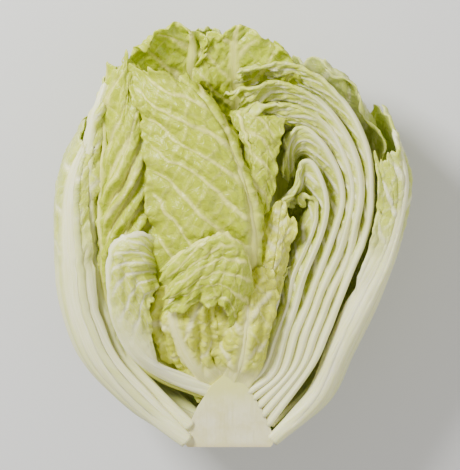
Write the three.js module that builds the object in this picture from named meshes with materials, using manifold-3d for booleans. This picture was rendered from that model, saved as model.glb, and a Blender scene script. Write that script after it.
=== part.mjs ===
// Half a head of napa cabbage, cut lengthwise and lying on its rounded back with the cut side up.
// Millimetres. +Y runs from the cut stump to the leaf tips, +Z points out of the cut side, and the
// cut plane is z = 0 until the whole head is moved to stand on its lowest point.
//
// Every leaf is a thin closed solid on a surface that passes through a few guide lines. A guide runs
// from root to tip, and a leaf's guides follow each other from one margin to the other.
import * as THREE from "three";
import { mergeVertices } from "three/addons/utils/BufferGeometryUtils.js";
import Module from "manifold-3d";

const wasm = await Module();
wasm.setup();

// Driving dimensions
const STUMP_RADIUS = 27;
const STUMP_LENGTH = 50;
const STUMP_CUT_DEPTH = 1.5;
const BLADE = 1.2;
const LEAF_GAP = 0.35;
const FLAT_SPOT_Z = -88;

// Colours of the finished leaves
const RIB_WHITE = 0xe9e8d6;
const PALE_GREEN = 0xdbe19a;
const HEART_YELLOW = 0xe0de8e;
const STUMP_CREAM = 0xe6dfc2;

// Leaves that show their face. Guides go from one margin to the other.
const centreLeaf = {
  name: "centre_leaf",
  guides: [
    [
      [15, 36, -13], [25, 68, -16], [24, 98, -11], [19, 125, -5], [18, 150, -4], [12, 175, -4],
      [2, 199, -5], [-13, 219, -7], [-30, 233, -9],
    ],
    [
      [5, 40, -13], [9, 69, -14], [12, 98, -3], [14.5, 125, 8], [13, 150, 13], [7, 175, 14],
      [-3, 199, 13], [-17, 220, 10], [-35, 238, 5],
    ],
    [
      [-6, 40, -13], [-9, 68, -13], [-12, 98, 1], [-16, 125, 12], [-18, 150, 16], [-20, 175, 17],
      [-27, 200, 16], [-38, 220, 12], [-50, 241, 5],
    ],
    [
      [-14, 36, -13], [-30, 66, -13], [-42, 100, 0], [-47, 128, 6], [-49, 150, 8], [-50, 175, 10],
      [-52, 200, 9], [-56, 222, 5], [-63, 240, 0],
    ],
  ],
  cells: [18, 9],
  rib: { at: 0.33, width: 0.09, root: 5, middle: 4, tip: 2 },
  ruffle: { size: 2.2, waves: 6, near: 0, far: 1, tip: 1 },
  colour: PALE_GREEN,
};

const foldedLeaf = {
  name: "folded_leaf",
  guides: [
    [
      [9, 41, -6], [11, 62, -2], [13, 84, 4], [14, 104, 10], [13, 121, 15], [9, 136, 19],
      [0, 144, 21], [-13, 143, 21], [-27, 134, 18], [-40, 121, 14],
    ],
    [
      [6, 41, -7], [8, 62, -3], [9, 82, 5], [10, 99, 13], [9, 113, 19], [5, 124, 23],
      [-2, 130, 25], [-13, 129, 25], [-26, 122, 22], [-40, 111, 17],
    ],
    [
      [2, 41, -8], [4, 60, -4], [5, 78, 5], [5, 91, 13], [4, 101, 18], [1, 109, 22], [-5, 113, 23],
      [-15, 112, 23], [-27, 107, 20], [-40, 100, 15],
    ],
    [
      [-2, 41, -9], [-1, 57, -5], [0, 71, 4], [0, 81, 11], [-1, 88, 16], [-3, 94, 19],
      [-8, 96, 20], [-18, 95, 19], [-29, 92, 16], [-40, 89, 12],
    ],
  ],
  cells: [22, 6],
  rib: { at: 0.03, width: 0.12, root: 4.5, middle: 3, tip: 1.6 },
  ruffle: { size: 1.6, waves: 7, near: 0, far: 1, tip: 1 },
  colour: PALE_GREEN,
};

const lowerRightHeartLeaf = {
  name: "lower_heart_leaf_right",
  guides: [
    [
      [13, 38, -3], [20, 54, 0], [25, 72, 2], [28, 90, 3], [28, 107, 4], [24, 120, 5],
    ],
    [
      [8, 41, -3], [14, 56, 4], [17, 73, 8], [19, 90, 9], [19, 107, 9], [17, 122, 9],
    ],
    [
      [2, 42, -3], [5, 57, 6], [7, 74, 10], [8, 90, 12], [8, 105, 11], [8, 116, 10],
    ],
    [
      [-4, 42, -6], [-8, 57, -1], [-10, 74, 2], [-11, 90, 4], [-11, 103, 6], [-9, 112, 6],
    ],
  ],
  cells: [12, 6],
  rib: { at: 0.6, width: 0.15, root: 4, middle: 2, tip: 1.2 },
  ruffle: { size: 1, waves: 4, near: 1, far: 1, tip: 1 },
  colour: HEART_YELLOW,
};

const lowerLeftHeartLeaf = {
  name: "lower_heart_leaf_left",
  guides: [
    [
      [-14, 35, -8], [-31, 46, -6], [-44, 60, -4], [-50, 76, -2], [-52, 92, -1], [-50, 106, 0],
    ],
    [
      [-12, 38, -6], [-23, 51, 1], [-32, 66, 5], [-37, 82, 8], [-38, 97, 8], [-37, 110, 7],
    ],
    [
      [-8, 41, -5], [-12, 56, 3], [-16, 72, 9], [-19, 87, 12], [-20, 100, 12], [-20, 112, 11],
    ],
    [
      [-3, 42, -6], [-3, 58, 0], [-4, 74, 4], [-5, 89, 7], [-6, 101, 8], [-7, 112, 8],
    ],
  ],
  cells: [12, 6],
  rib: { at: 0.4, width: 0.15, root: 4, middle: 2, tip: 1.2 },
  ruffle: { size: 1, waves: 4, near: 1, far: 1, tip: 1 },
  colour: HEART_YELLOW,
};

const hoodLeaf = {
  name: "hood_leaf",
  guides: [
    [
      [16, 40, -18], [24, 80, -22], [32, 130, -24], [37, 180, -22], [39, 194, -14], [38, 203, -4],
      [36, 203, 2], [34, 196, 3], [31, 188, 3], [29, 180, 4], [30, 171, 4], [28, 161, 4],
      [23, 152, 3],
    ],
    [
      [12, 40, -18], [18, 80, -22], [24, 130, -24], [24, 184, -22], [22, 200, -13], [20, 209, -3],
      [19, 209, 4], [19, 199, 8], [20, 189, 8], [20, 180, 8], [20, 170, 8], [20, 159, 7],
      [19, 146, 4],
    ],
    [
      [8, 40, -18], [12, 80, -22], [16, 130, -24], [12, 184, -21], [4, 199, -12], [-1, 208, -3],
      [-2, 208, 2], [2, 199, 5], [7, 190, 5], [10, 182, 5], [10, 172, 6], [12, 162, 5],
      [15, 151, 3],
    ],
  ],
  cells: [26, 5],
  rib: { at: 0.85, width: 0.1, root: 3, middle: 1.6, tip: 1.2 },
  ruffle: { size: 1.2, waves: 9, near: 1, far: 1, tip: 1 },
  colour: PALE_GREEN,
};

const heartTip = {
  name: "heart_tip",
  guides: [
    [
      [20, 56, -9], [28, 82, -5], [33, 105, 0], [38, 127, 2], [40, 150, 0],
    ],
    [
      [15, 57, -8], [21, 83, -1], [24, 106, 4], [28, 130, 5], [31, 157, 2],
    ],
    [
      [10, 58, -9], [13, 84, -3], [14, 105, 2], [17, 127, 4], [20, 152, 2],
    ],
  ],
  cells: [12, 5],
  rib: { at: 0.5, width: 0.15, root: 2.4, middle: 1.4, tip: 1.2 },
  ruffle: { size: 1, waves: 4, near: 1, far: 1, tip: 1 },
  colour: HEART_YELLOW,
};

const innerLeftLeaf = {
  name: "inner_left_leaf",
  guides: [
    [
      [-13, 32, -6], [-38, 44, -2], [-58, 60, 3], [-69, 82, 6], [-73, 104, 8], [-74, 122, 10],
      [-69, 135, 13], [-60, 141, 14], [-50, 141, 11], [-43, 135, 4], [-38, 127, -2],
    ],
    [
      [-11, 33, -5], [-34, 46, 1], [-53, 62, 8], [-62, 80, 12], [-65, 98, 14], [-65, 113, 16],
      [-62, 124, 18], [-55, 131, 17], [-48, 131, 13], [-43, 127, 5], [-38, 122, -2],
    ],
    [
      [-8, 35, -5], [-30, 47, 1], [-48, 60, 7], [-54, 74, 11], [-56, 88, 13], [-56, 99, 15],
      [-54, 109, 15], [-50, 115, 15], [-46, 118, 11], [-42, 118, 4], [-38, 116, -2],
    ],
    [
      [-5, 36, -6], [-26, 46, -2], [-41, 54, 3], [-44, 64, 6], [-45, 75, 8], [-45, 84, 9],
      [-45, 92, 10], [-44, 99, 9], [-42, 105, 6], [-40, 109, 2], [-38, 110, -3],
    ],
  ],
  cells: [17, 6],
  rib: { at: 0.04, width: 0.14, root: 5, middle: 3, tip: 1.6 },
  ruffle: { size: 1.2, waves: 6, near: 0, far: 1, tip: 0 },
  colour: RIB_WHITE,
};

const drapedLeaf = {
  name: "draped_leaf",
  guides: [
    [
      [-15.5, 28, -10.5], [-44, 40, -10], [-66, 60, -8], [-75, 88, -6], [-78, 115, -4],
      [-79, 140, -3], [-78, 165, -2], [-75, 195, -3], [-74, 220, -5], [-70, 243, -9],
    ],
    [
      [-11.5, 30, -10], [-38, 46, -10], [-57, 66, -6], [-65, 92, -2], [-68, 118, 3], [-70, 142, 5],
      [-70, 168, 6], [-69, 195, 5], [-68, 222, 3], [-65, 247, -1],
    ],
    [
      [-10, 31, -11], [-34, 48, -12], [-50, 69, -8], [-56, 94, -4], [-57, 119, 2], [-57, 144, 7],
      [-57, 169, 10], [-58, 197, 11], [-59, 223, 9], [-59, 249, 3],
    ],
    [
      [-8.5, 32, -11.5], [-30, 50, -14], [-44, 72, -10], [-46, 96, -7], [-45, 120, -3],
      [-43, 145, 0], [-43, 170, 3], [-45, 198, 4], [-48, 222, 2], [-52, 247, -3],
    ],
  ],
  cells: [19, 7],
  rib: { at: 0.1, width: 0.12, root: 4, middle: 2, tip: 1.2 },
  ruffle: { size: 1, waves: 7, near: 0.6, far: 0.3, tip: 1 },
  colour: PALE_GREEN,
};

const leftLeaf = {
  name: "left_leaf",
  guides: [
    [
      [-15, 13, -17.5], [-42, 32, -41], [-66, 58, -48], [-78, 86, -52], [-81, 116, -54],
      [-81, 146, -54], [-78, 175, -52], [-72, 200, -48], [-65, 220, -42], [-58, 236, -36],
    ],
    [
      [-21.5, 13, -10.5], [-52, 31, -24], [-77, 58, -27], [-88, 86, -29], [-92, 116, -30],
      [-92, 146, -30], [-89, 174, -28], [-82, 198, -25], [-76, 217, -22], [-68, 232, -20],
    ],
    [
      [-23.5, 13, -4.5], [-51, 33, -11], [-74, 60, -12], [-85, 88, -11], [-89, 116, -10],
      [-90, 145, -10], [-88, 172, -8], [-84, 195, -5], [-78, 214, -4], [-71, 230, -6],
    ],
    [
      [-22.5, 14, -2.5], [-46, 36, -6], [-66, 60, -5], [-75, 86, -4], [-79, 112, -3],
      [-81, 140, -2], [-81, 165, 2], [-79, 190, 3], [-75, 212, 2], [-69, 228, -1],
    ],
    [
      [-21, 16, -2], [-43, 38, -6], [-62, 61, -7], [-69, 86, -8], [-71, 112, -8], [-72, 140, -8],
      [-72, 165, -6], [-70, 190, -5], [-66, 212, -4], [-63, 227, -4],
    ],
  ],
  cells: [14, 8],
  rib: { at: 0.6, width: 0.35, root: 6, middle: 3, tip: 1.4 },
  ruffle: { size: 1.5, waves: 7, near: 1, far: 0.8, tip: 1 },
  colour: RIB_WHITE,
};

const outerLeftLeaf = {
  name: "outer_left_leaf",
  guides: [
    [
      [-18, 2, -20], [-42, 22, -48], [-60, 52, -65], [-71, 86, -72], [-74, 118, -73.5],
      [-73, 150, -70], [-68, 180, -63], [-62, 206, -50],
    ],
    [
      [-24.5, 2, -11.5], [-58, 22, -31], [-85, 52, -37], [-98, 85, -40], [-102, 116, -42],
      [-102, 148, -42], [-97, 176, -40], [-84, 202, -34],
    ],
    [
      [-27, 2, -4.5], [-61, 23, -13], [-88, 52, -13], [-100, 84, -13], [-104, 114, -13],
      [-104, 146, -13], [-99, 174, -14], [-87, 200, -16],
    ],
    [
      [-27, 3, -1], [-57, 26, -3], [-82, 54, -2], [-94, 84, -1], [-98, 114, 0], [-98, 144, 0],
      [-95, 172, -2], [-84, 197, -5],
    ],
    [
      [-25, 5, 0], [-51, 31, 0], [-73, 58, 2], [-83, 86, 3], [-87, 114, 4], [-89, 142, 4],
      [-88, 168, 3], [-82, 193, 0],
    ],
    [
      [-23, 8, -1], [-47, 35, -1], [-67, 60, 0], [-76, 87, 0], [-79, 114, 1], [-81, 141, 2],
      [-82, 165, 2], [-80, 187, 1],
    ],
  ],
  cells: [15, 11],
  rib: { at: 0.7, width: 0.3, root: 6, middle: 4.5, tip: 2.2 },
  ruffle: { size: 1.2, waves: 6, near: 1, far: 0.5, tip: 1 },
  colour: RIB_WHITE,
};

const backLeaf = {
  name: "back_leaf",
  guides: [
    [
      [-25.5, 1, -13.5], [-50, 20, -48], [-65, 54, -69], [-76, 88, -75], [-79, 120, -75.5],
      [-77, 152, -72], [-71, 184, -65], [-59, 212, -52], [-47, 236, -30],
    ],
    [
      [-14.5, 1, -25.5], [-28, 19, -60], [-38, 54, -79.5], [-43, 88, -85], [-45, 120, -84.5],
      [-44, 152, -80.5], [-40, 184, -73.5], [-34, 212, -61], [-27, 238, -38], [-22, 252, -17],
    ],
    [
      [0, 1, -29], [0, 19, -64], [0, 54, -83], [0, 88, -88.5], [-1, 120, -88], [-2, 152, -84.5],
      [-3, 184, -77], [-3, 213, -64], [-4, 240, -40], [-4, 256, -16],
    ],
    [
      [14.5, 1, -25.5], [27, 19, -59], [36, 54, -78.5], [39, 88, -84.5], [39, 120, -84.5],
      [37, 152, -80.5], [33, 184, -73], [27, 212, -60], [20, 237, -38], [15, 251, -17],
    ],
    [
      [24.5, 1, -15.5], [45, 20, -49], [57, 54, -66], [64, 88, -71], [66, 120, -72],
      [63, 152, -69.5], [57, 184, -62.5], [47, 212, -50], [37, 235, -29],
    ],
  ],
  cells: [15, 12],
  rib: { at: 0.5, width: 0.22, root: 7, middle: 5, tip: 1.8 },
  ruffle: { size: 2, waves: 6, near: 1, far: 1, tip: 1 },
  colour: RIB_WHITE,
};

const backRightLeaf = {
  name: "back_right_leaf",
  guides: [
    [
      [2, 13, -26], [8, 34, -53], [12, 66, -67], [12, 102, -75], [11, 136, -77], [10, 168, -73],
      [9, 196, -66], [7, 220, -55], [6, 240, -40],
    ],
    [
      [12.5, 13, -22.5], [28, 34, -51], [38, 66, -64], [40, 102, -71], [41, 136, -73],
      [40, 168, -70], [36, 196, -63], [29, 220, -53], [22, 238, -39],
    ],
    [
      [19.5, 13, -17], [43, 33, -43], [56, 66, -51], [63, 102, -57], [67, 136, -60],
      [67, 168, -59], [61, 196, -54], [51, 220, -46], [38, 236, -38],
    ],
    [
      [24, 13, -9], [51, 34, -29], [65, 66, -33], [78, 102, -36], [86, 136, -38], [87, 168, -37],
      [82, 196, -33], [69, 220, -30], [50, 236, -29],
    ],
    [
      [26, 13, -3.5], [52, 36, -15], [64, 67, -15], [78, 102, -14], [88, 136, -13], [91, 166, -11],
      [88, 190, -9], [76, 216, -12], [56, 235, -19],
    ],
  ],
  cells: [15, 10],
  rib: { at: 0.55, width: 0.3, root: 6, middle: 4, tip: 1.6 },
  ruffle: { size: 2, waves: 6, near: 1, far: 1, tip: 1 },
  colour: RIB_WHITE,
};

const looseLeaf = {
  name: "loose_leaf",
  guides: [
    [
      [14.5, 2, -27], [46, 22, -58], [60, 54, -72], [68, 88, -78], [73, 120, -80], [73, 148, -79],
      [72, 172, -71], [73, 196, -54],
    ],
    [
      [23, 2, -20.5], [59, 24, -39], [76, 56, -47], [88, 88, -52], [95, 120, -54], [98, 148, -53],
      [97, 174, -46], [85, 206, -34],
    ],
    [
      [28, 2, -10.5], [60, 26, -14], [74, 58, -12], [88, 90, -11], [98, 120, -10], [104, 148, -10],
      [105, 174, -10], [91, 211, -13],
    ],
    [
      [27.5, 3, -4.5], [55, 29, -5], [69, 61, -2], [82, 91, 1], [93, 117, 3], [100, 143, 4],
      [103, 170, 3], [95, 199, -1],
    ],
    [
      [25.5, 5, -2], [51, 32, -3], [64, 64, -1], [76, 93, 1], [87, 117, 3], [94, 141, 4],
      [95, 164, 5], [90, 191, 5],
    ],
    [
      [23.5, 7, -2.5], [48, 34, -8], [60, 66, -8], [71, 95, -5], [79, 118, 1], [84, 140, 4],
      [86, 163, 5], [82, 190, 5],
    ],
  ],
  cells: [15, 12],
  rib: { at: 0.6, width: 0.3, root: 6, middle: 4.5, tip: 2.4 },
  ruffle: { size: 1.4, waves: 6, near: 1, far: 1, tip: 1 },
  colour: RIB_WHITE,
};

const topLeftTip = {
  name: "top_left_tip",
  guides: [
    [
      [-19, 24, -15], [-42, 60, -36], [-60, 110, -42], [-69, 160, -36], [-69, 200, -20],
      [-64, 226, -8], [-55, 245, -2], [-45, 252, 3],
    ],
    [
      [-14, 24, -20], [-28, 60, -46], [-42, 110, -56], [-48, 160, -50], [-48, 200, -29],
      [-45, 230, -13], [-40, 252, -4], [-36, 260, 2],
    ],
    [
      [-8, 24, -24], [-15, 60, -50], [-20, 110, -60], [-23, 160, -54], [-24, 200, -31],
      [-25, 232, -14], [-24, 252, -5], [-25, 262, 0],
    ],
    [
      [-3, 24, -25], [-5, 60, -48], [-7, 110, -56], [-8, 160, -50], [-7, 200, -31], [-8, 226, -16],
      [-11, 238, -11], [-16, 246, -7],
    ],
  ],
  cells: [16, 9],
  rib: { at: 0.75, width: 0.15, root: 5, middle: 2.6, tip: 1.4 },
  ruffle: { size: 2.6, waves: 7, near: 1, far: 0.8, tip: 1 },
  colour: PALE_GREEN,
};

const topRightTip = {
  name: "top_right_tip",
  guides: [
    [
      [1, 24, -25], [0, 60, -42], [-8, 110, -50], [-14, 160, -42], [-19, 200, -26],
      [-22, 228, -13], [-18, 240, -8], [-11, 248, -4],
    ],
    [
      [8, 24, -23], [12, 60, -44], [10, 110, -54], [6, 160, -46], [2, 200, -27], [-1, 230, -12],
      [-1, 250, -4], [2, 262, 0],
    ],
    [
      [14, 25, -19], [24, 60, -40], [28, 110, -50], [28, 160, -42], [25, 200, -25], [20, 228, -10],
      [18, 246, -4], [17, 257, -1],
    ],
    [
      [18, 26, -13], [32, 60, -33], [41, 110, -42], [46, 160, -36], [46, 198, -22], [44, 222, -11],
      [39, 238, -6], [30, 249, -4],
    ],
  ],
  cells: [14, 8],
  rib: { at: 0.4, width: 0.15, root: 5, middle: 2.6, tip: 1.4 },
  ruffle: { size: 2.6, waves: 8, near: 1, far: 1, tip: 1 },
  colour: PALE_GREEN,
};

// The arched leaves of the right side nest round a spine in the cut plane. A crest point is x, y and
// the height of the cut rib. A leaf leans from there towards the spine and down.
const ARCH_SPINE = [new THREE.Vector2(4, 44), new THREE.Vector2(44, 150)];
const ARCH_LEAN = [[0, 0], [0.35, 0.24], [0.7, 0.55], [1, 1]];
const archedLeaves = [
  {
    share: 0.4,
    most: 17,
    down: 24,
    crest: [
      [24.5, 13, -1], [50, 50, -1], [60, 73, 0], [66.5, 90, 0], [73, 107, 0], [80.5, 128, 0],
      [85, 148, 0], [86.5, 166, 0], [84.5, 183, 0], [79, 199, 0], [70, 214, 0], [58.5, 226, 0],
      [45, 233.5, 0], [30, 237.5, 0], [14, 237, -1], [1, 233.5, -3], [-9, 227, -5],
    ],
  },
  {
    share: 0.42,
    most: 24,
    down: 22,
    crest: [
      [21.5, 19, -1], [45, 50, -1], [53.5, 73, 0], [60, 90, 0], [66, 107, 0], [73.5, 128, 0],
      [78.5, 148, 0], [80, 164, 0], [77.5, 179, 0], [72, 193, 0], [64, 206, 0], [54, 217, 0],
      [43, 224.5, 0], [31, 229, 0], [18, 229.5, 0], [5, 225.5, -1], [-6, 218, -4],
    ],
  },
  {
    share: 0.5,
    most: 22,
    down: 20,
    crest: [
      [19, 25, -1], [40, 50, -1], [47.5, 73, 0], [53.5, 90, 0], [59.5, 107, 0], [67, 128, 0],
      [72, 148, 0], [73.5, 162, 0], [71.5, 175, 0], [67, 187, 0], [60.5, 198, 1], [52, 206.5, 2],
      [42, 212, 3], [30, 214.5, 3], [18, 214, 2], [7, 210.5, 0], [1, 203, -3],
    ],
  },
  {
    share: 0.55,
    most: 22,
    down: 18,
    crest: [
      [16, 30, -1.5], [34, 48, -1], [41.5, 73, 0], [47.5, 90, 0], [53, 107, 0], [60.5, 128, 0],
      [65.5, 146, 0], [67, 158, 0], [65.5, 170, 0], [61.5, 181, 0], [55.5, 191, 1], [47, 199, 1],
      [40, 200, 0], [35, 195, -2], [33, 186, -4], [31, 176, -6], [28, 167, -8],
    ],
  },
  {
    share: 0.65,
    most: 18,
    down: 15,
    crest: [
      [13, 34, -1.5], [28.5, 48, -1], [35.5, 73, 0], [41, 90, 0], [46.5, 107, 0], [54, 128, 0],
      [58.5, 143, 0], [60, 154, 0], [58.5, 164, 0], [54.5, 173, 0], [49, 180, 0], [43.5, 181, 0],
      [40.5, 175, 0], [39, 167, 0], [34, 160, 0], [27, 154, 0], [21, 147, -2],
    ],
  },
  {
    share: 0.65,
    most: 12,
    down: 12,
    crest: [
      [10, 38, -2.5], [22, 50, -2], [29, 72, -1], [34.5, 90, -1], [39.5, 107, -1], [46.5, 124, -1],
      [51.5, 137, -1], [53.5, 147, -1], [52, 156, -1], [47.5, 160, -1], [43.5, 157, -2],
      [43, 150, -4],
    ],
  },
  {
    share: 0.6,
    most: 10,
    down: 10,
    crest: [
      [7, 41, -3], [16, 53, -3], [22.5, 72, -2], [28, 90, -2], [33, 106, -2], [37.5, 116, -3],
    ],
  },
];

const archRib = { at: 0, width: 0.18, root: 4, middle: 3.4, tip: 1.4 };
const ARCH_NAMES = "arched_leaf_";

// A curve through evenly spaced points, at t from 0 to 1.
function through(points, t) {
  const last = points.length - 1;
  const place = Math.min(Math.max(t, 0), 1) * last;
  const i = Math.min(Math.floor(place), last - 1);
  const f = place - i;
  const at = (k) => points[Math.min(Math.max(k, 0), last)];
  const a = i === 0 ? at(0).map((c, n) => 2 * c - at(1)[n]) : at(i - 1);
  const d = i === last - 1 ? at(last).map((c, n) => 2 * c - at(last - 1)[n]) : at(i + 2);
  const [b, c] = [at(i), at(i + 1)];
  return b.map((_, n) => {
    const slopeIn = (c[n] - a[n]) / 2;
    const slopeOut = (d[n] - b[n]) / 2;
    const bend = 3 * (c[n] - b[n]) - 2 * slopeIn - slopeOut;
    const twist = 2 * (b[n] - c[n]) + slopeIn + slopeOut;
    return b[n] + f * (slopeIn + f * (bend + f * twist));
  });
}

function smoothStep(low, high, x) {
  const t = Math.min(Math.max((x - low) / (high - low), 0), 1);
  return t * t * (3 - 2 * t);
}

// An arched leaf's guides: its cut rib, and lines that lean from it to the spine and down.
function archGuides(arch) {
  const [start, end] = ARCH_SPINE;
  const spine = new THREE.Line3(new THREE.Vector3(start.x, start.y, 0), new THREE.Vector3(end.x, end.y, 0));
  const rows = ARCH_LEAN.map(() => []);
  arch.crest.forEach(([x, y, z], i) => {
    const place = new THREE.Vector3(x, y, 0);
    const inward = spine.closestPointToPoint(place, true, new THREE.Vector3()).sub(place);
    const grown = Math.min(0.2 + 0.4 * i, 1);
    inward.setLength(Math.min(arch.share * inward.length(), arch.most) * grown);
    ARCH_LEAN.forEach(([reach, drop], row) => {
      rows[row].push([x + inward.x * reach, y + inward.y * reach, z - arch.down * grown * drop]);
    });
  });
  return rows;
}

function ribThickness(rib, u, v) {
  const near = rib.root + (rib.middle - rib.root) * u * 2;
  const far = rib.middle + (rib.tip - rib.middle) * (u * 2 - 1);
  const along = u < 0.5 ? near : far;
  const across = Math.exp(-(((v - rib.at) / rib.width) ** 2));
  const petiole = 1 - smoothStep(0.1, 0.38, u);
  return BLADE + (along - BLADE) * Math.max(across, 0.75 * petiole);
}

// How far a point of the leaf stands off its smooth surface: its ruffled margins.
function relief(leaf, u, v) {
  const { size, waves, near, far, tip } = leaf.ruffle;
  const phase = leaf.name.length;
  const turn = 2 * Math.PI * waves * u + phase;
  const nearEdge = near * Math.exp(-v / 0.14) * Math.sin(turn);
  const farEdge = far * Math.exp(-(1 - v) / 0.14) * Math.sin(turn + 2);
  const tipEdge = tip * Math.exp(-(1 - u) / 0.08) * Math.sin(2 * Math.PI * 2.5 * v + phase);
  return size * smoothStep(0.3, 0.5, u) * (nearEdge + farEdge + tipEdge);
}

// The leaf as a closed mesh. With extra > 0 it is that much larger all round, to cut clearance with.
function leafSolid(leaf, extra = 0) {
  const [rows, columns] = leaf.cells;
  const surface = (u, v) => new THREE.Vector3(...through(leaf.guides.map((g) => through(g, u)), v));
  const STEP = 0.01;
  const middle = [];
  const normals = [];
  for (let i = 0; i <= rows; i++) {
    for (let j = 0; j <= columns; j++) {
      const u = i / rows;
      const v = j / columns;
      const alongU = surface(Math.min(u + STEP, 1), v).sub(surface(Math.max(u - STEP, 0), v));
      const alongV = surface(u, Math.min(v + STEP, 1)).sub(surface(u, Math.max(v - STEP, 0)));
      const normal = alongU.cross(alongV).normalize();
      middle.push(surface(u, v).addScaledVector(normal, relief(leaf, u, v)));
      normals.push(normal);
    }
  }
  const index = (i, j) => i * (columns + 1) + j;
  if (extra > 0) {
    const grow = (n, from) => {
      const outward = middle[n].clone().sub(middle[from]).normalize();
      middle[n].addScaledVector(outward, extra);
    };
    for (let j = 0; j <= columns; j++) {
      grow(index(0, j), index(1, j));
      grow(index(rows, j), index(rows - 1, j));
    }
    for (let i = 0; i <= rows; i++) {
      grow(index(i, 0), index(i, 1));
      grow(index(i, columns), index(i, columns - 1));
    }
  }
  const vertices = [];
  for (const side of [1, -1]) {
    middle.forEach((p, n) => {
      const [u, v] = [Math.floor(n / (columns + 1)) / rows, (n % (columns + 1)) / columns];
      const half = ribThickness(leaf.rib, u, v) / 2 + extra;
      const q = p.clone().addScaledVector(normals[n], side * half);
      vertices.push(q.x, q.y, extra > 0 ? q.z : Math.max(q.z, FLAT_SPOT_Z));
    });
  }
  const under = middle.length;
  const faces = [];
  for (let i = 0; i < rows; i++) {
    for (let j = 0; j < columns; j++) {
      const [a, b, c, d] = [index(i, j), index(i + 1, j), index(i + 1, j + 1), index(i, j + 1)];
      faces.push(a, b, c, a, c, d);
      faces.push(under + a, under + c, under + b, under + a, under + d, under + c);
    }
  }
  const wall = (a, b) => faces.push(a, under + a, b, b, under + a, under + b);
  for (let i = 0; i < rows; i++) {
    wall(index(i, 0), index(i + 1, 0));
    wall(index(i + 1, columns), index(i, columns));
  }
  for (let j = 0; j < columns; j++) {
    wall(index(0, j + 1), index(0, j));
    wall(index(rows, j), index(rows, j + 1));
  }
  return new wasm.Manifold(
    new wasm.Mesh({
      numProp: 3,
      vertProperties: new Float32Array(vertices),
      triVerts: new Uint32Array(faces),
    }),
  );
}

function manifoldOf(geometry) {
  geometry.deleteAttribute("normal");
  geometry.deleteAttribute("uv");
  const merged = mergeVertices(geometry, 1e-4);
  return new wasm.Manifold(
    new wasm.Mesh({
      numProp: 3,
      vertProperties: merged.attributes.position.array,
      triVerts: new Uint32Array(merged.index.array),
    }),
  );
}

// The half stump, turned about the head's axis and cut by the head's own cut plane.
function stumpSolid(extra) {
  const profile = [
    [0, 0],
    [STUMP_RADIUS - 1.5, 0],
    [STUMP_RADIUS, 2],
    [STUMP_RADIUS * 0.97, STUMP_LENGTH * 0.2],
    [STUMP_RADIUS * 0.74, STUMP_LENGTH * 0.5],
    [STUMP_RADIUS * 0.4, STUMP_LENGTH * 0.8],
    [0, STUMP_LENGTH],
  ].map(([r, y], i, all) => {
    const grown = i === 0 || i === all.length - 1 ? r : r + extra;
    return new THREE.Vector2(grown, y + (i < 2 ? -extra : i === all.length - 1 ? extra : 0));
  });
  const whole = manifoldOf(new THREE.LatheGeometry(profile, 28));
  const below = 2 * STUMP_RADIUS + STUMP_LENGTH;
  const box = new THREE.BoxGeometry(4 * STUMP_RADIUS, 3 * STUMP_LENGTH, below);
  box.translate(0, STUMP_LENGTH / 2, -STUMP_CUT_DEPTH + extra - below / 2);
  return whole.intersect(manifoldOf(box));
}

function biggest(solid) {
  return solid.decompose().reduce((a, b) => (a.volume() >= b.volume() ? a : b));
}

const arches = archedLeaves.map((arch, i) => ({
  name: ARCH_NAMES + (i + 1),
  guides: archGuides(arch),
  cells: [Math.round(arch.crest.length * 1.4), 4],
  rib: archRib,
  ruffle: { size: 1, waves: 5, near: 0, far: 0.6, tip: 0.5 },
  colour: i < 3 ? RIB_WHITE : PALE_GREEN,
}));

// Front to back: a leaf further down the list gives way to those above it.
const leaves = [
  foldedLeaf, lowerLeftHeartLeaf, centreLeaf, lowerRightHeartLeaf, hoodLeaf, innerLeftLeaf,
  ...arches, heartTip, drapedLeaf, leftLeaf, outerLeftLeaf, looseLeaf,
  topRightTip, topLeftTip, backLeaf, backRightLeaf,
];

const head = new THREE.Group();

function addNode(name, solid, colour, roughness) {
  const mesh = solid.getMesh();
  const positions = new Float32Array(mesh.numVert * 3);
  for (let i = 0; i < mesh.numVert; i++) {
    positions.set(mesh.vertProperties.subarray(i * mesh.numProp, i * mesh.numProp + 3), i * 3);
  }
  const geometry = new THREE.BufferGeometry();
  geometry.setAttribute("position", new THREE.BufferAttribute(positions, 3));
  geometry.setIndex(new THREE.BufferAttribute(mesh.triVerts, 1));
  geometry.computeVertexNormals();
  const material = new THREE.MeshStandardMaterial({ color: colour, roughness, metalness: 0 });
  const node = new THREE.Mesh(geometry, material);
  node.name = name;
  head.add(node);
}

addNode("stump", stumpSolid(0), STUMP_CREAM, 0.7);
const taken = [stumpSolid(LEAF_GAP)];
for (const leaf of leaves) {
  let solid = leafSolid(leaf);
  for (const other of taken) solid = solid.subtract(other);
  addNode(leaf.name, biggest(solid), leaf.colour, 0.5);
  taken.push(leafSolid(leaf, LEAF_GAP));
}

// The origin is on the surface that the head lies on, under the middle of its box.
const box = new THREE.Box3().setFromObject(head, true);
const centre = box.getCenter(new THREE.Vector3());
head.position.set(-centre.x, -centre.y, -box.min.z);

export default head;
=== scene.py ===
"""Half a head of napa cabbage, cut lengthwise and lying on its rounded back, seen from above."""
import math

import bpy
import numpy as np
from mathutils import Matrix, Vector


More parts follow.
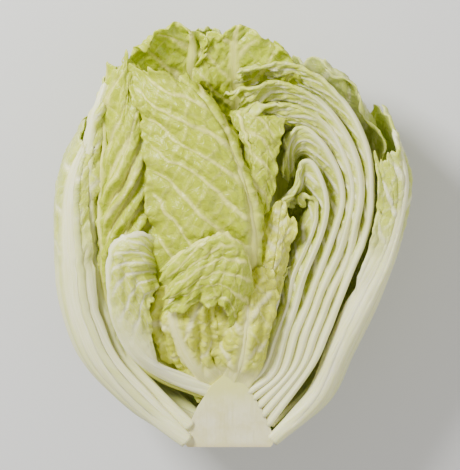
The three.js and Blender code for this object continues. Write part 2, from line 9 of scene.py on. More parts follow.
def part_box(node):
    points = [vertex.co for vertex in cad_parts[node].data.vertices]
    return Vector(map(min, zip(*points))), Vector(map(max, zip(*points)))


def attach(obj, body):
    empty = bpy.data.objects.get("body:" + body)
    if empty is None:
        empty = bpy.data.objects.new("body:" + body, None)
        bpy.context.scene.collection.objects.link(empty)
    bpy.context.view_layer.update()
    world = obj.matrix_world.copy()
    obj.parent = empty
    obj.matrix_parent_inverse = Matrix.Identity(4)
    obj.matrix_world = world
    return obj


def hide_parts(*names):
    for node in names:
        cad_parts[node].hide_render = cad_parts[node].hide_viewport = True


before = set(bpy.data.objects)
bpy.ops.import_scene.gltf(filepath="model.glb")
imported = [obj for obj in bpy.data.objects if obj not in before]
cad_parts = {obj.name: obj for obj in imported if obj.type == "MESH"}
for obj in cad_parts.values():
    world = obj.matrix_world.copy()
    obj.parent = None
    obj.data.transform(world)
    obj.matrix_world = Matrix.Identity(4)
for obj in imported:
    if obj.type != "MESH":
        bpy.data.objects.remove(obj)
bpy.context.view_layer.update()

# Sizes of the head are in millimetres, and MM is one of them in the frame's metres.
MM = 0.001
STUMP_CUT_DEPTH = 1.5       # how far the stump's face lies below the cut plane
FLAT_SPOT_Z = -88           # height of the flat spot that the head rests on, from the cut plane
BLADE = 0.8                 # thickness of a leaf's blade

# The head's own zero in the frame: the middle of the stump's foot, in the head's cut plane.
low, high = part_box("stump")
HEAD_ORIGIN = np.array([(low[0] + high[0]) / 2, low[1], high[2] + STUMP_CUT_DEPTH * MM])

# Leaves that show their face. A guide runs from root to tip in millimetres, and a leaf's guides go
# from one margin to the other.
CENTRE_LEAF = [
    [(15, 36, -13), (25, 68, -16), (24, 98, -11), (19, 125, -5), (18, 150, -4), (12, 175, -4),
     (2, 199, -5), (-13, 219, -7), (-30, 233, -9)],
    [(5, 40, -13), (9, 69, -14), (12, 98, -3), (14.5, 125, 8), (13, 150, 13), (7, 175, 14),
     (-3, 199, 13), (-17, 220, 10), (-35, 238, 5)],
    [(-6, 40, -13), (-9, 68, -13), (-12, 98, 1), (-16, 125, 12), (-18, 150, 16), (-20, 175, 17),
     (-27, 200, 16), (-38, 220, 12), (-50, 241, 5)],
    [(-14, 36, -13), (-30, 66, -13), (-42, 100, 0), (-47, 128, 6), (-49, 150, 8), (-50, 175, 10),
     (-52, 200, 9), (-56, 222, 5), (-63, 240, 0)],
]
FOLDED_LEAF = [
    [(9, 41, -6), (11, 62, -2), (13, 84, 4), (14, 104, 10), (13, 121, 15), (9, 136, 19), (0, 144, 21),
     (-13, 143, 21), (-27, 134, 18), (-40, 121, 14)],
    [(6, 41, -7), (8, 62, -3), (9, 82, 5), (10, 99, 13), (9, 113, 19), (5, 124, 23), (-2, 130, 25),
     (-13, 129, 25), (-26, 122, 22), (-40, 111, 17)],
    [(2, 41, -8), (4, 60, -4), (5, 78, 5), (5, 91, 13), (4, 101, 18), (1, 109, 22), (-5, 113, 23),
     (-15, 112, 23), (-27, 107, 20), (-40, 100, 15)],
    [(-2, 41, -9), (-1, 57, -5), (0, 71, 4), (0, 81, 11), (-1, 88, 16), (-3, 94, 19), (-8, 96, 20),
     (-18, 95, 19), (-29, 92, 16), (-40, 89, 12)],
]
LOWER_HEART_RIGHT = [
    [(13, 38, -3), (20, 54, 0), (25, 72, 2), (28, 90, 3), (28, 107, 4), (24, 120, 5)],
    [(8, 41, -3), (14, 56, 4), (17, 73, 8), (19, 90, 9), (19, 107, 9), (17, 122, 9)],
    [(2, 42, -3), (5, 57, 6), (7, 74, 10), (8, 90, 12), (8, 105, 11), (8, 116, 10)],
    [(-4, 42, -6), (-8, 57, -1), (-10, 74, 2), (-11, 90, 4), (-11, 103, 6), (-9, 112, 6)],
]
LOWER_HEART_LEFT = [
    [(-14, 35, -8), (-31, 46, -6), (-44, 60, -4), (-50, 76, -2), (-52, 92, -1), (-50, 106, 0)],
    [(-12, 38, -6), (-23, 51, 1), (-32, 66, 5), (-37, 82, 8), (-38, 97, 8), (-37, 110, 7)],
    [(-8, 41, -5), (-12, 56, 3), (-16, 72, 9), (-19, 87, 12), (-20, 100, 12), (-20, 112, 11)],
    [(-3, 42, -6), (-3, 58, 0), (-4, 74, 4), (-5, 89, 7), (-6, 101, 8), (-7, 112, 8)],
]
HOOD_LEAF = [
    [(16, 40, -18), (24, 80, -22), (32, 130, -24), (37, 180, -22), (39, 194, -14), (38, 203, -4),
     (36, 203, 2), (34, 196, 3), (31, 188, 3), (29, 180, 4), (30, 171, 4), (28, 161, 4), (23, 152, 3)],
    [(12, 40, -18), (18, 80, -22), (24, 130, -24), (24, 184, -22), (22, 200, -13), (20, 209, -3),
     (19, 209, 4), (19, 199, 8), (20, 189, 8), (20, 180, 8), (20, 170, 8), (20, 159, 7), (19, 146, 4)],
    [(8, 40, -18), (12, 80, -22), (16, 130, -24), (12, 184, -21), (4, 199, -12), (-1, 208, -3),
     (-2, 208, 2), (2, 199, 5), (7, 190, 5), (10, 182, 5), (10, 172, 6), (12, 162, 5), (15, 151, 3)],
]
HEART_TIP = [
    [(20, 56, -9), (28, 82, -5), (33, 105, 0), (38, 127, 2), (40, 150, 0)],
    [(15, 57, -8), (21, 83, -1), (24, 106, 4), (28, 130, 5), (31, 157, 2)],
    [(10, 58, -9), (13, 84, -3), (14, 105, 2), (17, 127, 4), (20, 152, 2)],
]
INNER_LEFT_LEAF = [
    [(-13, 32, -6), (-38, 44, -2), (-58, 60, 3), (-69, 82, 6), (-73, 104, 8), (-74, 122, 10),
     (-69, 135, 13), (-60, 141, 14), (-50, 141, 11), (-43, 135, 4), (-38, 127, -2)],
    [(-11, 33, -5), (-34, 46, 1), (-53, 62, 8), (-62, 80, 12), (-65, 98, 14), (-65, 113, 16),
     (-62, 124, 18), (-55, 131, 17), (-48, 131, 13), (-43, 127, 5), (-38, 122, -2)],
    [(-8, 35, -5), (-30, 47, 1), (-48, 60, 7), (-54, 74, 11), (-56, 88, 13), (-56, 99, 15),
     (-54, 109, 15), (-50, 115, 15), (-46, 118, 11), (-42, 118, 4), (-38, 116, -2)],
    [(-5, 36, -6), (-26, 46, -2), (-41, 54, 3), (-44, 64, 6), (-45, 75, 8), (-45, 84, 9),
     (-45, 92, 10), (-44, 99, 9), (-42, 105, 6), (-40, 109, 2), (-38, 110, -3)],
]
DRAPED_LEAF = [
    [(-15.5, 28, -10.5), (-44, 40, -10), (-66, 60, -8), (-75, 88, -6), (-78, 115, -4), (-79, 140, -3),
     (-78, 165, -2), (-75, 195, -3), (-74, 220, -5), (-70, 243, -9)],
    [(-11.5, 30, -10), (-38, 46, -10), (-57, 66, -6), (-65, 92, -2), (-68, 118, 3), (-70, 142, 5),
     (-70, 168, 6), (-69, 195, 5), (-68, 222, 3), (-65, 247, -1)],
    [(-10, 31, -11), (-34, 48, -12), (-50, 69, -8), (-56, 94, -4), (-57, 119, 2), (-57, 144, 7),
     (-57, 169, 10), (-58, 197, 11), (-59, 223, 9), (-59, 249, 3)],
    [(-8.5, 32, -11.5), (-30, 50, -14), (-44, 72, -10), (-46, 96, -7), (-45, 120, -3), (-43, 145, 0),
     (-43, 170, 3), (-45, 198, 4), (-48, 222, 2), (-52, 247, -3)],
]
LEFT_LEAF = [
    [(-15, 13, -17.5), (-42, 32, -41), (-66, 58, -48), (-78, 86, -52), (-81, 116, -54),
     (-81, 146, -54), (-78, 175, -52), (-72, 200, -48), (-65, 220, -42), (-58, 236, -36)],
    [(-21.5, 13, -10.5), (-52, 31, -24), (-77, 58, -27), (-88, 86, -29), (-92, 116, -30),
     (-92, 146, -30), (-89, 174, -28), (-82, 198, -25), (-76, 217, -22), (-68, 232, -20)],
    [(-23.5, 13, -4.5), (-51, 33, -11), (-74, 60, -12), (-85, 88, -11), (-89, 116, -10),
     (-90, 145, -10), (-88, 172, -8), (-84, 195, -5), (-78, 214, -4), (-71, 230, -6)],
    [(-22.5, 14, -2.5), (-46, 36, -6), (-66, 60, -5), (-75, 86, -4), (-79, 112, -3), (-81, 140, -2),
     (-81, 165, 2), (-79, 190, 3), (-75, 212, 2), (-69, 228, -1)],
    [(-21, 16, -2), (-43, 38, -6), (-62, 61, -7), (-69, 86, -8), (-71, 112, -8), (-72, 140, -8),
     (-72, 165, -6), (-70, 190, -5), (-66, 212, -4), (-63, 227, -4)],
]
OUTER_LEFT_LEAF = [
    [(-18, 2, -20), (-42, 22, -48), (-60, 52, -65), (-71, 86, -72), (-74, 118, -73.5), (-73, 150, -70),
     (-68, 180, -63), (-62, 206, -50)],
    [(-24.5, 2, -11.5), (-58, 22, -31), (-85, 52, -37), (-98, 85, -40), (-102, 116, -42),
     (-102, 148, -42), (-97, 176, -40), (-84, 202, -34)],
    [(-27, 2, -4.5), (-61, 23, -13), (-88, 52, -13), (-100, 84, -13), (-104, 114, -13),
     (-104, 146, -13), (-99, 174, -14), (-87, 200, -16)],
    [(-27, 3, -1), (-57, 26, -3), (-82, 54, -2), (-94, 84, -1), (-98, 114, 0), (-98, 144, 0),
     (-95, 172, -2), (-84, 197, -5)],
    [(-25, 5, 0), (-51, 31, 0), (-73, 58, 2), (-83, 86, 3), (-87, 114, 4), (-89, 142, 4),
     (-88, 168, 3), (-82, 193, 0)],
    [(-23, 8, -1), (-47, 35, -1), (-67, 60, 0), (-76, 87, 0), (-79, 114, 1), (-81, 141, 2),
     (-82, 165, 2), (-80, 187, 1)],
]
BACK_LEAF = [
    [(-25.5, 1, -13.5), (-50, 20, -48), (-65, 54, -69), (-76, 88, -75), (-79, 120, -75.5),
     (-77, 152, -72), (-71, 184, -65), (-59, 212, -52), (-47, 236, -30)],
    [(-14.5, 1, -25.5), (-28, 19, -60), (-38, 54, -79.5), (-43, 88, -85), (-45, 120, -84.5),
     (-44, 152, -80.5), (-40, 184, -73.5), (-34, 212, -61), (-27, 238, -38), (-22, 252, -17)],
    [(0, 1, -29), (0, 19, -64), (0, 54, -83), (0, 88, -88.5), (-1, 120, -88), (-2, 152, -84.5),
     (-3, 184, -77), (-3, 213, -64), (-4, 240, -40), (-4, 256, -16)],
    [(14.5, 1, -25.5), (27, 19, -59), (36, 54, -78.5), (39, 88, -84.5), (39, 120, -84.5),
     (37, 152, -80.5), (33, 184, -73), (27, 212, -60), (20, 237, -38), (15, 251, -17)],
    [(24.5, 1, -15.5), (45, 20, -49), (57, 54, -66), (64, 88, -71), (66, 120, -72), (63, 152, -69.5),
     (57, 184, -62.5), (47, 212, -50), (37, 235, -29)],
]
BACK_RIGHT_LEAF = [
    [(2, 13, -26), (8, 34, -53), (12, 66, -67), (12, 102, -75), (11, 136, -77), (10, 168, -73),
     (9, 196, -66), (7, 220, -55), (6, 240, -40)],
    [(12.5, 13, -22.5), (28, 34, -51), (38, 66, -64), (40, 102, -71), (41, 136, -73), (40, 168, -70),
     (36, 196, -63), (29, 220, -53), (22, 238, -39)],
    [(19.5, 13, -17), (43, 33, -43), (56, 66, -51), (63, 102, -57), (67, 136, -60), (67, 168, -59),
     (61, 196, -54), (51, 220, -46), (38, 236, -38)],
    [(24, 13, -9), (51, 34, -29), (65, 66, -33), (78, 102, -36), (86, 136, -38), (87, 168, -37),
     (82, 196, -33), (69, 220, -30), (50, 236, -29)],
    [(26, 13, -3.5), (52, 36, -15), (64, 67, -15), (78, 102, -14), (88, 136, -13), (91, 166, -11),
     (88, 190, -9), (76, 216, -12), (56, 235, -19)],
]
LOOSE_LEAF = [
    [(14.5, 2, -27), (46, 22, -58), (60, 54, -72), (68, 88, -78), (73, 120, -80), (73, 148, -79),
     (72, 172, -71), (73, 196, -54)],
    [(23, 2, -20.5), (59, 24, -39), (76, 56, -47), (88, 88, -52), (95, 120, -54), (98, 148, -53),
     (97, 174, -46), (85, 206, -34)],
    [(28, 2, -10.5), (60, 26, -14), (74, 58, -12), (88, 90, -11), (98, 120, -10), (104, 148, -10),
     (105, 174, -10), (91, 211, -13)],
    [(27.5, 3, -4.5), (55, 29, -5), (69, 61, -2), (82, 91, 1), (93, 117, 3), (100, 143, 4),
     (103, 170, 3), (95, 199, -1)],
    [(25.5, 5, -2), (51, 32, -3), (64, 64, -1), (76, 93, 1), (87, 117, 3), (94, 141, 4), (95, 164, 5),
     (90, 191, 5)],
    [(23.5, 7, -2.5), (48, 34, -8), (60, 66, -8), (71, 95, -5), (79, 118, 1), (84, 140, 4),
     (86, 163, 5), (82, 190, 5)],
]
TOP_LEFT_TIP = [
    [(-19, 24, -15), (-42, 60, -36), (-60, 110, -42), (-69, 160, -36), (-69, 200, -20), (-64, 226, -8),
     (-55, 245, -2), (-45, 252, 3)],
    [(-14, 24, -20), (-28, 60, -46), (-42, 110, -56), (-48, 160, -50), (-48, 200, -29),
     (-45, 230, -13), (-40, 252, -4), (-36, 260, 2)],
    [(-8, 24, -24), (-15, 60, -50), (-20, 110, -60), (-23, 160, -54), (-24, 200, -31), (-25, 232, -14),
     (-24, 252, -5), (-25, 262, 0)],
    [(-3, 24, -25), (-5, 60, -48), (-7, 110, -56), (-8, 160, -50), (-7, 200, -31), (-8, 226, -16),
     (-11, 238, -11), (-16, 246, -7)],
]
TOP_RIGHT_TIP = [
    [(1, 24, -25), (0, 60, -42), (-8, 110, -50), (-14, 160, -42), (-19, 200, -26), (-22, 228, -13),
     (-18, 240, -8), (-11, 248, -4)],
    [(8, 24, -23), (12, 60, -44), (10, 110, -54), (6, 160, -46), (2, 200, -27), (-1, 230, -12),
     (-1, 250, -4), (2, 262, 0)],
    [(14, 25, -19), (24, 60, -40), (28, 110, -50), (28, 160, -42), (25, 200, -25), (20, 228, -10),
     (18, 246, -4), (17, 257, -1)],
    [(18, 26, -13), (32, 60, -33), (41, 110, -42), (46, 160, -36), (46, 198, -22), (44, 222, -11),
     (39, 238, -6), (30, 249, -4)],
]

# The arched leaves of the right side nest round a spine in the cut plane. Each point of a crest is x, y and
# the height of the cut rib. From there the leaf leans towards the spine, by a share of the distance to it
# and by no more than most, and goes down. ARCH_LEAN says how much of both each guide has.
ARCH_SPINE = ((4, 44), (44, 150))
ARCH_LEAN = ((0, 0), (0.35, 0.24), (0.7, 0.55), (1, 1))
ARCHED_LEAVES = [
    dict(share=0.4, most=17, down=24, crest=[
        (24.5, 13, -1), (50, 50, -1), (60, 73, 0), (66.5, 90, 0), (73, 107, 0), (80.5, 128, 0),
        (85, 148, 0), (86.5, 166, 0), (84.5, 183, 0), (79, 199, 0), (70, 214, 0), (58.5, 226, 0),
        (45, 233.5, 0), (30, 237.5, 0), (14, 237, -1), (1, 233.5, -3), (-9, 227, -5)]),
    dict(share=0.42, most=24, down=22, crest=[
        (21.5, 19, -1), (45, 50, -1), (53.5, 73, 0), (60, 90, 0), (66, 107, 0), (73.5, 128, 0),
        (78.5, 148, 0), (80, 164, 0), (77.5, 179, 0), (72, 193, 0), (64, 206, 0), (54, 217, 0),
        (43, 224.5, 0), (31, 229, 0), (18, 229.5, 0), (5, 225.5, -1), (-6, 218, -4)]),
    dict(share=0.5, most=22, down=20, crest=[
        (19, 25, -1), (40, 50, -1), (47.5, 73, 0), (53.5, 90, 0), (59.5, 107, 0), (67, 128, 0),
        (72, 148, 0), (73.5, 162, 0), (71.5, 175, 0), (67, 187, 0), (60.5, 198, 1), (52, 206.5, 2),
        (42, 212, 3), (30, 214.5, 3), (18, 214, 2), (7, 210.5, 0), (1, 203, -3)]),
    dict(share=0.55, most=22, down=18, crest=[
        (16, 30, -1.5), (34, 48, -1), (41.5, 73, 0), (47.5, 90, 0), (53, 107, 0), (60.5, 128, 0),
        (65.5, 146, 0), (67, 158, 0), (65.5, 170, 0), (61.5, 181, 0), (55.5, 191, 1), (47, 199, 1),
        (40, 200, 0), (35, 195, -2), (33, 186, -4), (31, 176, -6), (28, 167, -8)]),
    dict(share=0.65, most=18, down=15, crest=[
        (13, 34, -1.5), (28.5, 48, -1), (35.5, 73, 0), (41, 90, 0), (46.5, 107, 0), (54, 128, 0),
        (58.5, 143, 0), (60, 154, 0), (58.5, 164, 0), (54.5, 173, 0), (49, 180, 0), (43.5, 181, 0),
        (40.5, 175, 0), (39, 167, 0), (34, 160, 0), (27, 154, 0), (21, 147, -2)]),
    dict(share=0.65, most=12, down=12, crest=[
        (10, 38, -2.5), (22, 50, -2), (29, 72, -1), (34.5, 90, -1), (39.5, 107, -1), (46.5, 124, -1),
        (51.5, 137, -1), (53.5, 147, -1), (52, 156, -1), (47.5, 160, -1), (43.5, 157, -2),
        (43, 150, -4)]),
    dict(share=0.6, most=10, down=10, crest=[
        (7, 41, -3), (16, 53, -3), (22.5, 72, -2), (28, 90, -2), (33, 106, -2), (37.5, 116, -3)]),
]


# What a leaf is like unless its own row says otherwise. Places along a leaf run from 0 at its root to 1
# at its tip, places across it from 0 to 1, and sizes are in millimetres.
LEAF_DEFAULTS = dict(
    pleats=None,            # folds across a stretch of the leaf
    pale_ridges=0.0,        # painted highlight: how white the crests of those folds are
    grooves=(),             # place across, width and how deep each groove along the leaf is, which is also painted in shade
    green_from=0.12,        # where the white petiole begins to turn green
    green_to=0.42,          # and where it is green all over
    rib_end=0.15,           # least share of its width that the white midrib keeps
    rib_fade=0.0,           # how much of its whiteness the midrib loses at the tip
    pale_width=1.0,         # how much wider the whiteness is than the thick rib
    vein_spacing=24,
    vein_height=0.9,
    crinkle=1.0,            # strength of blisters, puckers and crumpling
    pucker=1.8,
    frill=1.0,              # strength of the fine ruffles at the margin
    wild=0.0,               # height of the curls at the tip
    sway=0.0,               # height of the slow waves along the whole leaf
    ragged=0.03,            # how far the outline runs in and out, as a share of the leaf
    straight_near=False,    # a first margin that was cut straight
    crowding=1.0,           # above 1, the grid is finer near the first margin
    sunk=1.0,               # how strong the painted shade is where the leaf lies deep
)

THINNEST = 0.35             # thickness of a leaf at its very edge
RUFFLE_REACH = 0.14         # how far in the ruffles of a margin reach, as a share of the leaf's width
TIP_RUFFLE_REACH = 0.08     # how far in those of the tip reach, as a share of the leaf's length
TIP_RUFFLE_WAVES = 2.5      # how many of them there are across the tip
FRILL_REACH = 6             # how far in the fine ruffles reach, in millimetres
MARGIN_REACH = 4            # and how far in the margin is paler
DEEP = 20                   # how far below the cut plane a leaf lies where its painted shade is darkest
VEIN_SLANT = 0.75           # how far a side vein climbs for each millimetre away from the rib
VEIN_BEND = 0.006           # and how much more for each of them that it is away already
CROSSING_SLANT = 1.1        # how far the veins that cross those go down for each millimetre
CROSSING_SPACING = 0.62     # their spacing, as a share of that of the side veins
BLISTER_LENGTH = 9.5
BLISTER_WIDTH = 6.5
NET_PALENESS = 0.34         # how pale the net between the blisters is, next to the veins
NOISE_SIZE = 97             # the noise repeats after this many cells
FIRST_SEED = 100            # the first leaf's, and each next leaf has the next number
UV_PER_METRE = 10           # the scale of the flat coordinates that the materials use

# The stretches of a leaf, as places along it, over which each of these sets in or ends.
RUFFLES_BEGIN = (0.3, 0.5)
GROOVES_BEGIN = (0.03, 0.2)
SWAY_BEGINS = (0.1, 0.3)
CURLS_BEGIN = (0.76, 0.97)
RAGS_BEGIN = (0.25, 0.5)
RIB_FADES = (0.6, 0.86)
PETIOLE_THINS = (0.1, 0.38)


def leaf(name, guides, slot, rib, ruffle, cells, **changes):
    """The values of one leaf, gathered under plain names."""
    given = dict(name=name, guides=guides, slot=slot, rib=rib, ruffle=ruffle, cells=cells)
    return {**LEAF_DEFAULTS, **given, **changes}


def rib(at, width, root, middle, tip):
    """The place across the leaf and the width of its rib, and its thickness at three places along."""
    return dict(at=at, width=width, root=root, middle=middle, tip=tip)


def ruffle(size, waves, near=1, far=1, tip=1):
    """Height and number of the waves, and how strong they are at each margin and at the tip."""
    return dict(size=size, waves=waves, near=near, far=far, tip=tip)


def pleats(size, pitch, along, across, start=0.0, end=1.0):
    """Height and pitch of the folds, the direction that they follow each other in, and their stretch."""
    return dict(size=size, pitch=pitch, along=along, across=across, start=start, end=end)


def smooth(low_end, high_end, x):
    """0 below low_end, 1 above high_end, and a soft step between them."""
    t = np.clip((x - low_end) / (high_end - low_end), 0, 1)
    return t * t * (3 - 2 * t)


def through(points, t):
    """Points on a smooth curve through evenly spaced points, for places t from 0 to 1.

    points has one row for each guide point, and t one value for each place. A row may itself hold
    one point for each place."""
    points = np.asarray(points, float)
    if points.ndim == 2:
        points = np.repeat(points[:, None, :], len(t), axis=1)
    last = len(points) - 1
    ends = np.concatenate([[2 * points[0] - points[1]], points, [2 * points[-1] - points[-2]]])
    place = np.clip(t, 0, 1) * last
    i = np.minimum(place.astype(int), last - 1)
    f = (place - i)[:, None]
    here = np.arange(len(t))
    a, b, c, d = (ends[i + k, here] for k in range(4))
    slope_in, slope_out = (c - a) / 2, (d - b) / 2
    bend = 3 * (c - b) - 2 * slope_in - slope_out
    twist = 2 * (b - c) + slope_in + slope_out
    return b + f * (slope_in + f * (bend + f * twist))


def leaf_surface(guides, u, v):
    """Points of the surface through the guides, at the places u along and v across it."""
    return through(np.array([through(g, u) for g in guides]), v)


def arch_guides(arch):
    """An arched leaf's guides: its cut rib, and lines that lean from it to the spine and down."""
    start, end = (np.array(p, float) for p in ARCH_SPINE)
    spine = end - start
    rows = [[] for _ in ARCH_LEAN]
    for i, (x, y, z) in enumerate(arch["crest"]):
        place = np.array([x, y], float)
        nearest = start + spine * np.clip((place - start) @ spine / (spine @ spine), 0, 1)
        grown = min(0.2 + 0.4 * i, 1)
        away = np.linalg.norm(nearest - place)
        inward = (nearest - place) / away * min(arch["share"] * away, arch["most"]) * grown
        for row, (reach, drop) in zip(rows, ARCH_LEAN):
            row.append((*(place + inward * reach), z - arch["down"] * grown * drop))
    return rows


class Wrinkles:
    """Smooth noise and cells over a leaf's own flat coordinates, drawn once from a seed."""

    def __init__(self, seed):
        draw = np.random.default_rng(seed)
        self.values = draw.random((NOISE_SIZE, NOISE_SIZE)) * 2 - 1
        self.jitter = draw.random((NOISE_SIZE, NOISE_SIZE, 2)) * 0.8 + 0.1

    def noise(self, x, y):
        """A value from -1 to 1 that runs smoothly from one whole number to the next."""
        i, j = np.floor(x).astype(int), np.floor(y).astype(int)
        fx, fy = x - i, y - j
        fx, fy = fx * fx * (3 - 2 * fx), fy * fy * (3 - 2 * fy)
        at = lambda a, b: self.values[a % NOISE_SIZE, b % NOISE_SIZE]
        near = at(i, j) * (1 - fx) + at(i + 1, j) * fx
        far = at(i, j + 1) * (1 - fx) + at(i + 1, j + 1) * fx
        return near * (1 - fy) + far * fy

    def cells(self, x, y):
        """Distance to the nearest and the next cell centre."""
        i, j = np.floor(x).astype(int), np.floor(y).astype(int)
        near = np.full(x.shape, 9.0)
        following = near.copy()
        for di in (-1, 0, 1):
            for dj in (-1, 0, 1):
                centre = self.jitter[(i + di) % NOISE_SIZE, (j + dj) % NOISE_SIZE]
                d = np.hypot(i + di + centre[..., 0] - x, j + dj + centre[..., 1] - y)
                following = np.minimum(following, np.maximum(near, d))
                near = np.minimum(near, d)
        return near, following


# Each of the next functions works on a whole leaf at once. u and v are places along and across it,
# along and across are distances in millimetres from its root and from its rib, and margin is the
# distance to its nearest edge. The numbers added inside a noise only shift its pattern.


def edge_waves(spec, u, v):
    """The waves along both margins and the tip."""
    waves = spec["ruffle"]
    phase = len(spec["name"])
    turn = 2 * math.pi * waves["waves"] * u + phase
    near_edge = waves["near"] * np.exp(-v / RUFFLE_REACH) * np.sin(turn)
    out_of_step = turn + 2
    far_edge = waves["far"] * np.exp(-(1 - v) / RUFFLE_REACH) * np.sin(out_of_step)
    tip_turn = 2 * math.pi * TIP_RUFFLE_WAVES * v + phase
    tip_edge = waves["tip"] * np.exp(-(1 - u) / TIP_RUFFLE_REACH) * np.sin(tip_turn)
    return waves["size"] * smooth(*RUFFLES_BEGIN, u) * (near_edge + far_edge + tip_edge)


def folds(spec, wrinkles, u, along, across):
    """The height of the pleats, and the painted highlight that makes their crests white."""
    p = spec["pleats"]
    if not p:
        return 0 * u, 0 * u
    # They set in and fade over a short stretch, leave the rib flat, and are fuller than a sine wave.
    begins = smooth(p["start"] - 0.08, p["start"] + 0.04, u)
    band = begins * (1 - smooth(p["end"] - 0.04, p["end"] + 0.1, u))
    wander = 3 * wrinkles.noise(along / 20 + 80, across / 15)
    fold = np.sin(2 * math.pi * (along * p["along"] + across * p["across"] + wander) / p["pitch"])
    swell = 1 + 0.8 * wrinkles.noise(along / 16 + 15, across / 16 + 45)
    wave = 1.4 * np.abs(fold) ** 0.7 * np.sign(fold) * band * smooth(1, 8, np.abs(across))
    return p["size"] * swell * wave, np.clip(wave, 0, 1) * spec["pale_ridges"]


def pale_parts(spec, u, v):
    """Where the leaf is white, at its petiole and midrib, from 0 to 1."""
    petiole = 1 - smooth(spec["green_from"], spec["green_to"], u)
    rib_width = spec["rib"]["width"] * np.maximum(1.25 - 1.1 * u, spec["rib_end"]) * spec["pale_width"]
    faded = 1 - spec["rib_fade"] * smooth(*RIB_FADES, u)
    midrib = np.exp(-((v - spec["rib"]["at"]) / rib_width) ** 2) * faded
    return np.clip(np.maximum(midrib, petiole), 0, 1)


def side_veins(spacing, wrinkles, along, across, margin):
    """Veins that leave the midrib slantwise and bend towards the tip, finer ones that cross them, and
    the distance to the nearest main one."""
    reach = np.abs(across)
    wander = wrinkles.noise(along / 34, across / 34 + 20)
    wander = wander + 0.35 * wrinkles.noise(along / 11, across / 9 + 75)
    # One side is shifted against the other, and 0.72 and 0.67 turn a distance along the leaf into one
    # square to a slanting vein.
    climb = reach * VEIN_SLANT + VEIN_BEND * reach ** 2
    order = (along - climb + 8 * wander) / spacing + 0.37 * (across > 0)
    from_vein = np.abs(order - np.round(order)) * spacing * 0.72
    thin = 0.9 + 1.3 * np.exp(-reach / 22)
    veins = np.exp(-(from_vein / thin) ** 2) * smooth(3, 7, margin)
    closer = spacing * CROSSING_SPACING
    second = (along + reach * CROSSING_SLANT + 6 * wander) / closer + 0.5 * (across > 0)
    from_second = np.abs(second - np.round(second)) * closer * 0.67
    crossing = 0.55 * np.exp(-(from_second / 0.8) ** 2) * smooth(3, 9, margin)
    return np.maximum(veins, crossing), from_vein


def blade_crinkles(spec, wrinkles, along, across, from_vein):
    """Blisters between the veins, fine crumpling and wide puckers, and the net between the blisters."""
    warp = 3.5 * wrinkles.noise(along / 13, across / 13)
    near, following = wrinkles.cells((along + warp) / BLISTER_LENGTH, (across - warp) / BLISTER_WIDTH)
    blister = 1 - np.minimum(near, 1) ** 2
    net = np.exp(-((following - near) / 0.16) ** 2)
    slant = np.abs(across) * 0.9
    crumple = wrinkles.noise((along - slant) / 3.2, across / 9)
    crumple = crumple + 0.6 * wrinkles.noise(along / 2.4 + 40, across / 2.4)
    pucker = wrinkles.noise(along / 24 + 7, across / 17) + 0.5 * wrinkles.noise(along / 11 + 27, across / 9)
    bulge = smooth(0, 8, from_vein)
    small = 0.6 * blister - 0.4 * net + 0.6 * crumple + 1.5 * bulge
    return spec["crinkle"] * (small + spec["pucker"] * pucker), net


def leaf_relief(spec, wrinkles, u, v, along, across, margin):
    """How far each place stands off the leaf's smooth surface, then its whiteness, its veins together with
    the painted highlight on the crests of its folds, and its grooves, which are painted in shade, each from
    0 to 1."""
    noise = wrinkles.noise
    pleat, ridge = folds(spec, wrinkles, u, along, across)
    whiteness = pale_parts(spec, u, v)
    leafy = 1 - smooth(0.25, 0.95, whiteness)
    veins, from_vein = side_veins(spec["vein_spacing"], wrinkles, along, across, margin)
    crinkles, net = blade_crinkles(spec, wrinkles, along, across, from_vein)
    off = edge_waves(spec, u, v) + pleat + leafy * (crinkles + spec["vein_height"] * veins)

    # The fine ruffles of the margin, and the lines along the petiole.
    frill = np.exp(-margin / FRILL_REACH) * leafy * spec["frill"]
    off = off + frill * (2 * noise(along / 6 + 11, across / 30) + noise(along / 2.8, 3 + across / 20))
    lines = 0.4 * noise(across / 2.4 + 50, along / 70) + 0.9 * noise(across / 7 + 20, along / 110)
    off = off + lines * (1 - leafy) * smooth(0, 4, margin)

    # Where the grooves lie, which the material paints in shade.
    groove = 0 * u
    for place, width, deep in spec["grooves"]:
        aside = v + 0.02 * noise(along / 40, 60 + 0 * v) - place
        dip = np.exp(-(aside / width) ** 2) * smooth(*GROOVES_BEGIN, u)
        off = off - deep * dip
        groove = np.maximum(groove, dip)

    curl = noise(along / 6 + 33, across / 8) + 0.5 * noise(along / 2.8 + 13, across / 5 + 40)
    off = off + spec["wild"] * smooth(*CURLS_BEGIN, u) * curl
    off = off + spec["sway"] * smooth(*SWAY_BEGINS, u) * noise(along / 28 + 70, across * 0 + 5)
    return off, whiteness, np.maximum(np.maximum(veins, ridge), NET_PALENESS * net), groove


def leaf_thickness(spec, u, v, margin):
    """The blade's thickness, more at the rib and the petiole, and rounded off at the margins."""
    ribbed = spec["rib"]
    near = ribbed["root"] + (ribbed["middle"] - ribbed["root"]) * u * 2
    far = ribbed["middle"] + (ribbed["tip"] - ribbed["middle"]) * (u * 2 - 1)
    along = np.where(u < 0.5, near, far)
    across = np.exp(-((v - ribbed["at"]) / ribbed["width"]) ** 2)
    petiole = 1 - smooth(*PETIOLE_THINS, u)
    thick = BLADE + (along - BLADE) * np.maximum(across, 0.75 * petiole)
    rounding = np.clip(margin / (thick * 0.5), 0, 1)
    return np.maximum(thick * np.sqrt(1 - (1 - rounding) ** 2), THINNEST)


